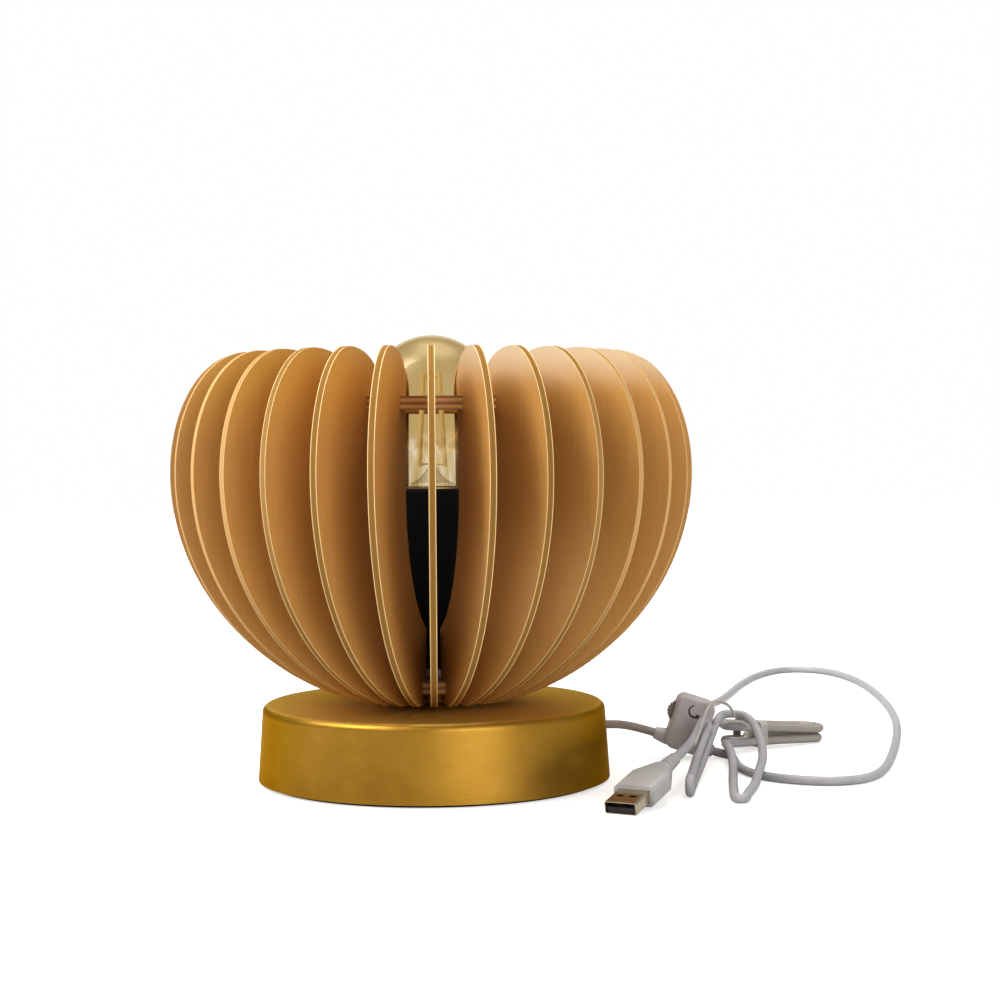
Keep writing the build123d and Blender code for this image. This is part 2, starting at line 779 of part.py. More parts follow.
neck_setback = usb_length + grip_block_length + grip_taper_length
relief_end = neck_setback + relief_length
with BuildPart() as usb_grip:
    with BuildSketch(plug_plane(usb_length)):
        RectangleRounded(grip_width, grip_height, grip_corner)
    extrude(amount=grip_block_length)
    with BuildSketch(plug_plane(usb_length + grip_block_length)):
        RectangleRounded(grip_width, grip_height, grip_corner)
    with BuildSketch(plug_plane(neck_setback)):
        RectangleRounded(grip_neck_width, grip_neck_height, grip_corner)
    loft()
    with BuildSketch(plug_plane(neck_setback)):
        Circle(relief_root_radius)
    with BuildSketch(plug_plane(relief_end)):
        Circle(relief_tip_radius)
    loft()
    for groove in range(relief_groove_count):
        groove_setback = neck_setback + (2 * groove + 1) * relief_groove_width
        with BuildSketch(plug_plane(groove_setback)):
            Circle(grip_neck_width)
            Circle(relief_tip_radius + relief_groove_depth / 2, mode=Mode.SUBTRACT)
        extrude(amount=relief_groove_width / 2, mode=Mode.SUBTRACT)
    with BuildSketch(plug_plane(usb_length)):
        Rectangle(usb_width + 2 * lap_gap, usb_height + 2 * lap_gap)
    extrude(amount=usb_root_length + lap_gap, mode=Mode.SUBTRACT)
    with BuildSketch(plug_plane(relief_end - relief_seat_depth)):
        Circle(cord_radius + cord_clearance)
    extrude(amount=relief_seat_depth, mode=Mode.SUBTRACT)
usb_grip.part.label = "usb_grip"
export_step(usb_grip.part, "parts/usb_grip.step")


# Hank

hank_turn = radians(hank_azimuth)
hank_drop = radians(hank_dip)
hank_run = Vector(cos(hank_turn) * cos(hank_drop), sin(hank_turn) * cos(hank_drop), -sin(hank_drop))
hank_side = Vector(-sin(hank_turn), cos(hank_turn), 0)
hank_plane = Plane(origin=hank_centre, x_dir=hank_run, z_dir=hank_run.cross(hank_side))

# Each run is a side of the hank, a track (0 inner, 1 outer) and the layers at its start and end
hank_runs = [
    (1, 1, 1, 1),
    (-1, 1, 1, 1),
    (1, 0, 1, 1),
    (-1, 0, 1, 0),
    (1, 0, 0, 0),
    (-1, 1, 0, 0),
]


def hank_point(along, across, layer):
    """Point of the hank from its place along, across and its layer, where the lower layer is 0."""
    share = min(1.0, max(0.0, (hank_half_run - along) / (2 * hank_half_run)))
    return hank_plane.from_local_coords((along, across, layer * (hank_pitch + hank_fan * share)))


hank_start = hank_point(-hank_half_run - hank_lead, hank_turn_radius + hank_pitch, 1)
hank_end = hank_point(-hank_half_run - hank_lead, -hank_turn_radius - hank_pitch, 0)

with BuildPart() as cord_hank:
    with BuildLine() as hank_path:
        way = 1
        heading = hank_run
        Line(hank_start, hank_point(-hank_half_run, hank_turn_radius + hank_pitch, 1))
        for index, (side, track, first_layer, last_layer) in enumerate(hank_runs):
            across = side * (hank_turn_radius + track * hank_pitch)
            waist_across = side * (hank_waist_offset + track * hank_waist_pitch)
            last = hank_point(way * hank_half_run, across, last_layer)
            stops = [
                hank_point(-way * hank_half_run, across, first_layer),
                hank_point(hank_waist_along, waist_across, (first_layer + last_layer) / 2),
                last,
            ]
            for start, stop in zip(stops, stops[1:]):
                middle = (start + stop) / 2
                bend = TangentArc(start, middle, tangent=heading)
                TangentArc(middle, stop, tangent=bend % 1)
            if index + 1 < len(hank_runs):
                next_side, next_track, _, _ = hank_runs[index + 1]
                next_across = next_side * (hank_turn_radius + next_track * hank_pitch)
                turn_radius = abs(across - next_across) / 2
                apex = hank_point(way * (hank_half_run + turn_radius), (across + next_across) / 2, last_layer)
                ThreePointArc(last, apex, hank_point(way * hank_half_run, next_across, last_layer))
                way = -way
                heading = -heading
        Line(last, hank_end)
    with BuildSketch(Plane(origin=hank_start, z_dir=hank_run)):
        Circle(cord_radius)
    sweep()
cord_hank.part.label = "cord_hank"
export_step(cord_hank.part, "parts/cord_hank.step")

tie_inner_width = 2 * (hank_waist_offset + hank_waist_pitch + cord_radius + tie_gap)
waist_layer_pitch = (hank_point(hank_waist_along, 0, 1) - hank_point(hank_waist_along, 0, 0)).length
tie_inner_height = waist_layer_pitch + 2 * (cord_radius + tie_gap)
with BuildPart() as hank_tie:
    with BuildSketch(Plane(origin=hank_point(hank_waist_along, 0, 1 / 2), x_dir=hank_side, z_dir=hank_run)):
        RectangleRounded(tie_inner_width + 2 * tie_thickness, tie_inner_height + 2 * tie_thickness,
                         tie_corner + tie_thickness)
        RectangleRounded(tie_inner_width, tie_inner_height, tie_corner, mode=Mode.SUBTRACT)
    extrude(amount=tie_length / 2, both=True)
hank_tie.part.label = "hank_tie"
export_step(hank_tie.part, "parts/hank_tie.step")


# Cord outside the hank: points chosen by hand along the way from the lampholder to the plug

def on_dimmer_axis(distance):
    """Point on the cord's line through the dimmer, counted from its centre."""
    return Vector(*dimmer_centre) + dimmer_run * distance


def on_plug_axis(setback):
    """Point on the plug's middle line, counted from its mouth."""
    return Vector(*plug_tip) + plug_back * setback


def on_exit_line(radius):
    """Point on the line through the grommet at a distance from the lamp's axis."""
    return exit_direction * radius + Vector(0, 0, grommet_height)


boot_seat = boot_reach - boot_seat_depth

lead_points = [
    (0.0, 0.0, 78.0),
    (0.3, -0.3, 66.0),
    (-0.8, -0.5, 52.0),
    (0.7, 0.4, 37.0),
    (0.2, 0.1, 23.5),
    (5.9, 3.6, 14.4),
    (17.8, 11.3, 13.4),
    (34.2, 19.2, 14.2),
    on_exit_line(58.0),
    on_exit_line(79.0),
    on_dimmer_axis(-22.5),
    on_dimmer_axis(-boot_seat),
]

loop_points = [
    on_dimmer_axis(boot_seat),
    on_dimmer_axis(15.6),
    (120.3, 35.9, 1.85),
    (120.5, 26.0, 1.85),
    (119.5, 13.0, 1.85),
    (119.7, -1.0, 1.85),
    (124.0, -15.5, 1.85),
    (134.2, -26.0, 1.85),
    (146.6, -31.5, 1.85),
    (158.6, -29.5, 1.85),
    (168.2, -19.5, 1.85),
    (176.0, -1.5, 1.85),
    (184.5, 26.0, 1.85),
    (195.5, 66.0, 1.85),
    (207.5, 116.0, 1.85),
    (217.0, 172.0, 1.85),
    (223.0, 232.0, 1.85),
    (225.0, 290.0, 1.85),
    (217.0, 334.0, 1.85),
    (196.0, 344.0, 1.85),
    (177.0, 318.0, 1.85),
    (161.0, 276.0, 1.85),
    (147.0, 228.0, 1.9),
    (134.5, 180.0, 4.3),
    (125.0, 141.0, 8.6),
    (116.0, 109.0, 12.0),
    (109.6, 89.0, 13.4),
    (105.8, 76.5, 13.4),
    (106.4, 65.5, 13.0),
    hank_start - hank_run * hank_corner_setback,
    hank_start,
]

tail_points = [
    hank_end,
    hank_end - hank_run * hank_corner_setback,
    (119.4, 40.5, 5.9),
    (118.9, 28.0, 5.7),
    (117.8, 13.0, 5.5),
    (115.9, -4.0, 2.9),
    (112.6, -24.0, 1.85),
    (109.4, -41.5, 1.85),
    (107.9, -52.5, 1.85),
    (106.2, -61.2, 1.85),
    (114.0, -62.6, 1.85),
    (115.9, -54.0, 1.85),
    (118.0, -41.5, 1.85),
    (120.8, -26.0, 4.4),
    (124.8, -11.0, 5.8),
    (128.0, 5.0, 5.8),
    (130.2, 20.0, 7.7),
    (131.6, 33.0, 11.0),
    (131.3, 45.0, 14.0),
    (128.0, 54.4, 16.2),
    (119.8, 54.8, 16.2),
    (117.0, 46.0, 14.4),
    (116.0, 35.0, 11.4),
    (113.6, 22.0, 6.2),
    (109.9, 5.0, 2.9),
    (105.2, -15.0, 1.85),
    (99.0, -31.2, 1.85),
    (96.6, -41.0, 1.85),
    (95.0, -51.8, 1.85),
    (88.8, -51.0, 6.4),
    (89.6, -41.0, 6.5),
    (96.0, -25.6, 5.2),
    (103.0, -8.7, 4.5),
    (107.4, 6.9, 5.5),
    (109.0, 20.0, 5.7),
    (111.0, 32.2, 7.9),
    (102.7, 32.6, 8.8),
    (102.7, 24.5, 8.6),
    (102.3, 12.1, 7.7),
    (101.9, -1.8, 6.6),
    (100.6, -11.9, 9.5),
    (98.4, -22.0, 10.4),
    (95.4, -30.5, 12.6),
    on_plug_axis(54.5),
    on_plug_axis(relief_end - relief_seat_depth),
]


def corner_radii(points):
    """Radius of each corner's arc, from the shorter of its two runs and the turn between them."""
    corners = []
    for before, corner, after in zip(points, points[1:], points[2:]):
        arriving = corner - before
        leaving = after - corner
        half_turn = radians(arriving.get_angle(leaving)) / 2
        corners.append(corner_share * min(arriving.length, leaving.length) / tan(half_turn))
    return corners


def cord_tube(name, points):
    """Round tube along straight runs that tangent arcs join."""
    stops = [Vector(*point) for point in points]
    corners = corner_radii(stops)
    with BuildPart() as tube:
        with BuildLine() as route:
            FilletPolyline(*stops, radius=corners)
        with BuildSketch(Plane(origin=stops[0], z_dir=stops[1] - stops[0])):
            Circle(cord_radius)
        sweep()
    length = sum(edge.length for edge in route.edges())
    swept_share = tube.part.volume / (pi * cord_radius ** 2 * length)
    print(name, "length", round(length), "swept share", round(swept_share, 3))
    print(name, "radii", [round(radius, 1) for radius in corners])
    return tube.part


with BuildPart() as cord_lead:
    add(cord_tube("cord_lead", lead_points))
cord_lead.part.label = "cord_lead"
export_step(cord_lead.part, "parts/cord_lead.step")

with BuildPart() as cord_loop:
    add(cord_tube("cord_loop", loop_points))
cord_loop.part.label = "cord_loop"
export_step(cord_loop.part, "parts/cord_loop.step")

with BuildPart() as cord_tail:
    add(cord_tube("cord_tail", tail_points))
cord_tail.part.label = "cord_tail"
export_step(cord_tail.part, "parts/cord_tail.step")

# Least gap between turns of the hank, measured on points along its path
sample_count = 400
near_length = 8.0
hank_length = sum(edge.length for edge in hank_path.edges())
hank_samples = [hank_path.wires()[0].position_at(step / sample_count) for step in range(sample_count + 1)]
apart = int(near_length / hank_length * sample_count)
hank_gap = min(
    (hank_samples[first] - hank_samples[second]).length
    for first in range(sample_count + 1)
    for second in range(first + apart, sample_count + 1)
) - 2 * cord_radius
print("cord_hank", "length", round(hank_length), "least gap", round(hank_gap, 2))
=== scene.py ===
import bpy
import json
import math
from mathutils import Matrix, Vector


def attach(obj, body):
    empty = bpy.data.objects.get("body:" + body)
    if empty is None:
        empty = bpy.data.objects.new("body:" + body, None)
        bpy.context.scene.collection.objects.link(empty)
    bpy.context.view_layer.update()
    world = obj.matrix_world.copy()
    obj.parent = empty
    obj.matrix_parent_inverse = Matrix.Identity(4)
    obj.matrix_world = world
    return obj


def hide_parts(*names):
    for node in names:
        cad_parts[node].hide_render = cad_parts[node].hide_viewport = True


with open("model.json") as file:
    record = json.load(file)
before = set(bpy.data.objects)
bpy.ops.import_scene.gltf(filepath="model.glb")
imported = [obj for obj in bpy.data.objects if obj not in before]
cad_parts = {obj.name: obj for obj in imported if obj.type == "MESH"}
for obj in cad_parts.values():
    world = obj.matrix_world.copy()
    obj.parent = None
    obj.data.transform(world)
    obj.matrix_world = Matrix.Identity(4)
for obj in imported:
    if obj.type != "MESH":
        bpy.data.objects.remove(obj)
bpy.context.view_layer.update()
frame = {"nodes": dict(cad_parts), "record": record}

# Camera: in front of the lamp, a little above the shade's belly, level enough to see the base's top
camera_distance = 0.793
camera_height = 0.131
camera_lens = 73.8
sensor_width = 36.0
camera_yaw = math.radians(1.89)
camera_pitch = math.radians(1.68)
camera_roll = math.radians(0.45)

# Light and floor
world_strength = 0.42
key_power = 28.0
fill_power = 14.0
top_power = 16.0
floor_half_width = 3.0
floor_glow = 0.62
far_glow = 0.6
glow_starts = 0.4
glow_is_full = 1.6

# Cord, dimmer, plug and hank
cord_radius = 0.00175
on_table = 0.00185
grommet_azimuth = math.radians(28.5)
grommet_height = 0.015
dimmer_centre = Vector((0.1022, 0.0425, 0.0066))
dimmer_yaw = math.radians(-4.0)
dimmer_dip = math.radians(18.0)
dimmer_depth = 0.014
boot_seat = 0.0090
plug_tip = Vector((0.0645, -0.0840, 0.0023))
plug_yaw = math.radians(60.0)
plug_rise = math.radians(12.5)
plug_seat = 0.0460
hank_centre = Vector((0.1418, 0.0720, 0.0032))
hank_azimuth = math.radians(33.0)
hank_dip = math.radians(2.5)
hank_half_run = 0.0195
hank_waist_along = -0.0100
hank_turn_radius = 0.0036
hank_pitch = 0.0040
hank_fan = 0.0025
hank_waist_offset = 0.0021
hank_waist_pitch = 0.0042
hank_lead = 0.0032
hank_corner_setback = 0.0080
turn_steps = 4

# Sign on the dimmer, and the wire that ties the folds
mark_height = 0.0140
mark_radius = 0.0024
mark_start = math.radians(112)
mark_sweep = math.radians(190)
mark_steps = 24
mark_half_width = 0.00026
mark_widening = 0.00022
mark_gap = 0.00004
mark_arrow_inside = 0.0013
mark_arrow_outside = 0.0011
mark_arrow_length = 0.0017
tie_wire_radius = 0.0006

# Shade, base and bulb
fin_count = 30
fin_half_thickness = 0.00125
ring_foot_height = 0.0358
ring_ply_thickness = 0.00236
base_shoulder_height = 0.0290
base_top_height = 0.0299
neck_top_height = 0.128
globe_foot_height = 0.136


# Camera, lights and floor

def place_camera():
    camera = bpy.data.objects.new("camera", bpy.data.cameras.new("camera"))
    camera.data.lens = camera_lens
    camera.data.sensor_width = sensor_width
    turn = Matrix.Rotation(-camera_yaw, 4, "Z")
    tilt = Matrix.Rotation(math.pi / 2 - camera_pitch, 4, "X")
    roll = Matrix.Rotation(-camera_roll, 4, "Z")
    stand = Matrix.Translation((0, -camera_distance, camera_height))
    camera.matrix_world = stand @ turn @ tilt @ roll
    bpy.context.scene.collection.objects.link(camera)
    bpy.context.scene.camera = camera


def area_light(name, place, aim, size, power, colour):
    light = bpy.data.lights.new(name, "AREA")
    light.size = size
    light.energy = power
    light.color = colour
    lamp = bpy.data.objects.new(name, light)
    lamp.location = place
    lamp.rotation_euler = (Vector(aim) - Vector(place)).to_track_quat("-Z", "Y").to_euler()
    bpy.context.scene.collection.objects.link(lamp)


def white_world():
    """White to the camera, and a softer light on the lamp."""
    world = bpy.data.worlds.new("studio")
    world.use_nodes = True
    tree = world.node_tree
    tree.nodes.clear()
    output = tree.nodes.new("ShaderNodeOutputWorld")
    seen = tree.nodes.new("ShaderNodeBackground")
    seen.inputs["Color"].default_value = (1.0, 1.0, 0.985, 1.0)
    seen.inputs["Strength"].default_value = 1.0
    shed = tree.nodes.new("ShaderNodeBackground")
    shed.inputs["Color"].default_value = (1.0, 0.98, 0.95, 1.0)
    shed.inputs["Strength"].default_value = world_strength
    ray = tree.nodes.new("ShaderNodeLightPath")
    mix = tree.nodes.new("ShaderNodeMixShader")
    tree.links.new(ray.outputs["Is Camera Ray"], mix.inputs["Fac"])
    tree.links.new(shed.outputs["Background"], mix.inputs[1])
    tree.links.new(seen.outputs["Background"], mix.inputs[2])
    tree.links.new(mix.outputs["Shader"], output.inputs["Surface"])
    bpy.context.scene.world = world


def lay_floor():
    """White table that keeps the lamp's shadow and glows into the background far from it."""
    half = floor_half_width
    corners = [(-half, -half, 0), (half, -half, 0), (half, half, 0), (-half, half, 0)]
    mesh = bpy.data.meshes.new("floor")
    mesh.from_pydata(corners, [], [(0, 1, 2, 3)])
    floor = bpy.data.objects.new("floor", mesh)
    bpy.context.scene.collection.objects.link(floor)
    material = bpy.data.materials.new("floor_white")
    material.use_nodes = True
    tree = material.node_tree
    tree.nodes.clear()
    output = tree.nodes.new("ShaderNodeOutputMaterial")
    matt = tree.nodes.new("ShaderNodeBsdfDiffuse")
    matt.inputs["Color"].default_value = (0.62, 0.62, 0.61, 1.0)
    glow = tree.nodes.new("ShaderNodeEmission")
    glow.inputs["Color"].default_value = (1.0, 1.0, 0.985, 1.0)
    _, x, y, _ = place_of(tree)
    reach = distance_from_axis(tree, x, y)
    rising = times(tree, smooth_step(tree, reach, glow_starts, glow_is_full), far_glow)
    level = plus(tree, floor_glow, rising)
    ray = tree.nodes.new("ShaderNodeLightPath")
    tree.links.new(times(tree, ray.outputs["Is Camera Ray"], level), glow.inputs["Strength"])
    both = tree.nodes.new("ShaderNodeAddShader")
    tree.links.new(matt.outputs["BSDF"], both.inputs[0])
    tree.links.new(glow.outputs["Emission"], both.inputs[1])
    tree.links.new(both.outputs["Shader"], output.inputs["Surface"])
    floor.data.materials.append(material)


# Material helpers

def principled(name):
    """New material with one Principled shader; returns the material, its tree and the shader."""
    material = bpy.data.materials.new(name)
    material.use_nodes = True
    tree = material.node_tree
    return material, tree, tree.nodes["Principled BSDF"]


def maths(tree, operation, first, second=None):
    """One Math node; each input is a socket or a number."""
    node = tree.nodes.new("ShaderNodeMath")
    node.operation = operation
    for socket, value in zip(node.inputs, (first, second)):
        if value is None:
            continue
        if isinstance(value, (int, float)):
            socket.default_value = value
        else:
            tree.links.new(value, socket)
    return node.outputs["Value"]


def times(tree, first, second):
    return maths(tree, "MULTIPLY", first, second)


def plus(tree, first, second):
    return maths(tree, "ADD", first, second)


def minus(tree, first, second):
    return maths(tree, "SUBTRACT", first, second)


def rest_of_one(tree, value):
    return maths(tree, "SUBTRACT", 1.0, value)


def distance_from_axis(tree, x, y):
    return maths(tree, "SQRT", plus(tree, times(tree, x, x), times(tree, y, y)))


def smooth_step(tree, value, low, high):
    """Rises softly from 0 at low to 1 at high."""
    node = tree.nodes.new("ShaderNodeMapRange")
    node.interpolation_type = "SMOOTHSTEP"
    node.inputs["From Min"].default_value = low
    node.inputs["From Max"].default_value = high
    tree.links.new(value, node.inputs["Value"])
    return node.outputs["Result"]


def place_of(tree):
    """Object-space position, as a vector socket and its three parts."""
    where = tree.nodes.new("ShaderNodeTexCoord").outputs["Object"]
    parts = tree.nodes.new("ShaderNodeSeparateXYZ")
    tree.links.new(where, parts.inputs["Vector"])
    return where, parts.outputs["X"], parts.outputs["Y"], parts.outputs["Z"]


def vector_of(tree, x, y, z):
    node = tree.nodes.new("ShaderNodeCombineXYZ")
    for socket, value in zip(node.inputs, (x, y, z)):
        if isinstance(value, (int, float)):
            socket.default_value = value
        else:
            tree.links.new(value, socket)
    return node.outputs["Vector"]


def noise(tree, where, scale, detail=3.0, roughness=0.5):
    node = tree.nodes.new("ShaderNodeTexNoise")
    node.inputs["Scale"].default_value = scale
    node.inputs["Detail"].default_value = detail
    node.inputs["Roughness"].default_value = roughness
    tree.links.new(where, node.inputs["Vector"])
    return node.outputs["Fac"]


def ramp(tree, factor, stops):
    """Colour ramp from (position, colour) pairs."""
    node = tree.nodes.new("ShaderNodeValToRGB")
    elements = node.color_ramp.elements
    while len(elements) < len(stops):
        elements.new(0.5)
    for element, (position, colour) in zip(elements, stops):
        element.position = position
        element.color = (*colour, 1.0)
    tree.links.new(factor, node.inputs["Fac"])
    return node.outputs["Color"]


def blend_colours(tree, factor, first, second):
    node = tree.nodes.new("ShaderNodeMix")
    node.data_type = "RGBA"
    # The Mix node has sockets of the same name for each data type, so the colours' are found by type
    colour_sockets = [socket for socket in node.inputs if socket.type == "RGBA"]
    slots = ((node.inputs[0], factor), (colour_sockets[0], first), (colour_sockets[1], second))
    for socket, value in slots:
        if isinstance(value, (int, float)):
            socket.default_value = value
        elif isinstance(value, tuple):
            socket.default_value = (*value, 1.0)
        else:
            tree.links.new(value, socket)
    return next(socket for socket in node.outputs if socket.type == "RGBA")


def bump(tree, shader, height, distance, strength):
    node = tree.nodes.new("ShaderNodeBump")
    node.inputs["Strength"].default_value = strength
    node.inputs["Distance"].default_value = distance
    tree.links.new(height, node.inputs["Height"])
    tree.links.new(node.outputs["Normal"], shader.inputs["Normal"])


# Materials

def fin_plywood():
    """Veneered ply: warm faces with a soft upright grain, and a cut edge of pale, dark and pale plies."""
    material, tree, shader = principled("fin_plywood")
    where, x, y, z = place_of(tree)
    radius = distance_from_axis(tree, x, y)
    azimuth = plus(tree, maths(tree, "ARCTAN2", y, x), math.pi / 2)
    step = 2 * math.pi / fin_count
    count = maths(tree, "DIVIDE", azimuth, step)
    number = maths(tree, "ROUND", count)
    across = times(tree, minus(tree, count, number), step)
    offset = times(tree, maths(tree, "SINE", across), radius)
    depth = maths(tree, "DIVIDE", maths(tree, "ABSOLUTE", offset), fin_half_thickness)
    sheet = times(tree, number, 0.37)
    grain_place = vector_of(tree, times(tree, radius, 14.0), sheet, z)
    streaks = noise(tree, grain_place, 55.0, detail=6.0, roughness=0.6)
    clouds = noise(tree, vector_of(tree, radius, sheet, z), 28.0, detail=2.0)
    face = ramp(tree, streaks, [
        (0.25, (0.44, 0.21, 0.053)),
        (0.55, (0.475, 0.236, 0.062)),
        (0.8, (0.51, 0.262, 0.076)),
    ])
    face = blend_colours(tree, times(tree, clouds, 0.3), face, (0.54, 0.29, 0.075))
    # Painted light: the faces are painted paler at the rim and lower down on the right, and yellower at
    # the rim on the left, as if lit more strongly there
    right = smooth_step(tree, x, -0.014, 0.016)
    rim = smooth_step(tree, plus(tree, z, times(tree, clouds, 0.006)), 0.149, 0.169)
    painted_light_rim_right = times(tree, right, rim)
    face = blend_colours(tree, painted_light_rim_right, face, (0.68, 0.53, 0.34))
    # Painted light: paler faces low down on the right
    painted_light_low_right = times(tree, right, smooth_step(tree, times(tree, z, -1.0), -0.115, -0.080))
    painted_light_low_right = times(tree, painted_light_low_right, smooth_step(tree, z, 0.046, 0.078))
    painted_light_low_right = times(tree, painted_light_low_right, rest_of_one(tree, smooth_step(tree, x, 0.045, 0.075)))
    face = blend_colours(tree, times(tree, painted_light_low_right, 0.5), face, (0.70, 0.42, 0.16))
    # Painted highlight: a yellower, brighter rim on the left
    painted_light_rim_left = times(tree, rest_of_one(tree, right), smooth_step(tree, z, 0.125, 0.160))
    face = blend_colours(tree, times(tree, painted_light_rim_left, 0.45), face, (0.66, 0.345, 0.045))
    edge_noise = noise(tree, where, 900.0, detail=2.0)
    wavy = plus(tree, depth, times(tree, minus(tree, edge_noise, 0.5), 0.10))
    plies = ramp(tree, wavy, [
        (0.0, (0.22, 0.11, 0.024)),
        (0.6, (0.25, 0.13, 0.032)),
        (0.76, (0.29, 0.155, 0.045)),
        (0.84, (0.82, 0.58, 0.29)),
        (0.96, (0.84, 0.60, 0.31)),
        (1.0, (0.62, 0.39, 0.17)),
    ])
    # Seen nearly along its length, the outer fins' edge shows no dark core
    aside = smooth_step(tree, maths(tree, "ABSOLUTE", x), 0.045, 0.085)
    plies = blend_colours(tree, times(tree, aside, 0.85), plies, (0.66, 0.40, 0.165))
    is_face = maths(tree, "GREATER_THAN", depth, 0.985)
    colour = blend_colours(tree, is_face, plies, face)
    tree.links.new(colour, shader.inputs["Base Color"])
    tree.links.new(minus(tree, 0.90, times(tree, is_face, 0.48)), shader.inputs["Roughness"])
    tree.links.new(plus(tree, 0.06, times(tree, is_face, 0.28)), shader.inputs["Specular IOR Level"])
    bump(tree, shader, streaks, 0.00006, 0.5)
    return material


def ring_plywood():
    """Cut edge of thicker ply: level stripes from dark to pale; the flat faces are plain veneer."""
    material, tree, shader = principled("ring_plywood")
    _, x, y, z = place_of(tree)
    grain_place = vector_of(tree, times(tree, x, 8.0), y, times(tree, z, 8.0))
    grain = noise(tree, grain_place, 60.0, detail=5.0)
    height = minus(tree, z, ring_foot_height)
    stripe = maths(tree, "FRACT", maths(tree, "DIVIDE", height, ring_ply_thickness))
    plies = ramp(tree, stripe, [
        (0.0, (0.22, 0.075, 0.010)),
        (0.22, (0.38, 0.16, 0.028)),
        (0.45, (0.64, 0.34, 0.085)),
        (0.62, (0.56, 0.27, 0.055)),
        (0.85, (0.24, 0.08, 0.010)),
    ])
    face = ramp(tree, grain, [(0.3, (0.42, 0.21, 0.07)), (0.7, (0.58, 0.34, 0.14))])
    normal = tree.nodes.new("ShaderNodeNewGeometry").outputs["Normal"]
    parts = tree.nodes.new("ShaderNodeSeparateXYZ")
    tree.links.new(normal, parts.inputs["Vector"])
    flat = maths(tree, "GREATER_THAN", maths(tree, "ABSOLUTE", parts.outputs["Z"]), 0.7)
    tree.links.new(blend_colours(tree, flat, plies, face), shader.inputs["Base Color"])
    shader.inputs["Roughness"].default_value = 0.5
    bump(tree, shader, grain, 0.00005, 0.5)
    return material


def base_gold():
    """Satin gold: fine brushing round the axis over a cloudy lacquer."""
    material, tree, shader = principled("base_gold")
    where, x, y, z = place_of(tree)
    radius = distance_from_axis(tree, x, y)
    turn = maths(tree, "ARCTAN2", y, x)
    brush_place = vector_of(tree, times(tree, turn, 0.02), times(tree, radius, 6.0), times(tree, z, 6.0))
    brushed = noise(tree, brush_place, 330.0, detail=4.0)
    clouds = noise(tree, where, 38.0, detail=4.0, roughness=0.6)
    specks = noise(tree, where, 1400.0, detail=2.0)
    colour = ramp(tree, clouds, [
        (0.3, (0.34, 0.175, 0.022)),
        (0.5, (0.41, 0.22, 0.028)),
        (0.72, (0.48, 0.265, 0.04)),
    ])
    colour = blend_colours(tree, times(tree, brushed, 0.35), colour, (0.24, 0.11, 0.012))
    # Painted highlight: the flat top is painted a brighter, yellower gold than the sides
    top = smooth_step(tree, z, base_shoulder_height, base_top_height)
    colour = blend_colours(tree, times(tree, top, 0.95), colour, (0.95, 0.66, 0.17))
    tree.links.new(colour, shader.inputs["Base Color"])
    shader.inputs["Metallic"].default_value = 1.0
    shader.inputs["Specular Tint"].default_value = (0.80, 0.56, 0.20, 1.0)
    rough = plus(tree, 0.34, times(tree, specks, 0.16))
    tree.links.new(rough, shader.inputs["Roughness"])
    mixed = plus(tree, brushed, times(tree, specks, 0.5))
    bump(tree, shader, mixed, 0.00005, 0.8)
    return material


def moulded(name, colour, darker, roughness, bump_depth=0.00002, gloss=0.5):
    """Moulded plastic: a soft mottle of two near colours, a fine moulded surface and an uneven gloss."""
    material, tree, shader = principled(name)
    where = place_of(tree)[0]
    shader.inputs["Specular IOR Level"].default_value = gloss
    mottle = noise(tree, where, 160.0, detail=3.0)
    shade = ramp(tree, mottle, [(0.35, darker), (0.65, colour)])
    tree.links.new(shade, shader.inputs["Base Color"])
    fine = noise(tree, where, 1800.0, detail=2.0)
    tree.links.new(plus(tree, roughness, times(tree, minus(tree, mottle, 0.5), 0.15)),
                   shader.inputs["Roughness"])
    bump(tree, shader, fine, bump_depth, 0.5)
    return material


def cord_vinyl():
    """Grey vinyl, with painted shade: darker and warmer on the lead beside the base, and on the hank."""
    material, tree, shader = principled("cord_vinyl")
    where, x, y, z = place_of(tree)
    mottle = noise(tree, where, 160.0, detail=3.0)
    pale = ramp(tree, mottle, [(0.35, (0.325, 0.32, 0.34)), (0.65, (0.365, 0.36, 0.38))])
    # Painted shade: the lead beside the base is darkened and warmed
    painted_shade_by_base = smooth_step(tree, times(tree, x, -1.0), -0.100, -0.088)
    painted_shade_by_base = times(tree, painted_shade_by_base, smooth_step(tree, y, 0.010, 0.025))
    colour = blend_colours(tree, times(tree, painted_shade_by_base, 0.9), pale, (0.20, 0.155, 0.12))
    # Painted shade: the hank's lower layers are darkened and warmed
    painted_shade_on_hank = times(tree, smooth_step(tree, y, 0.050, 0.060), smooth_step(tree, x, 0.120, 0.128))
    behind = smooth_step(tree, y, 0.100, 0.112)
    beyond = maths(tree, "MAXIMUM", behind, smooth_step(tree, x, 0.172, 0.180))
    painted_shade_on_hank = times(tree, painted_shade_on_hank, rest_of_one(tree, beyond))
    low = rest_of_one(tree, smooth_step(tree, z, 0.012, 0.014))
    colour = blend_colours(tree, times(tree, times(tree, painted_shade_on_hank, low), 0.9), colour,
                           (0.30, 0.27, 0.235))
    tree.links.new(colour, shader.inputs["Base Color"])
    tree.links.new(plus(tree, 0.38, times(tree, mottle, 0.12)), shader.inputs["Roughness"])
    bump(tree, shader, noise(tree, where, 1500.0, detail=2.0), 0.00002, 0.5)
    return material


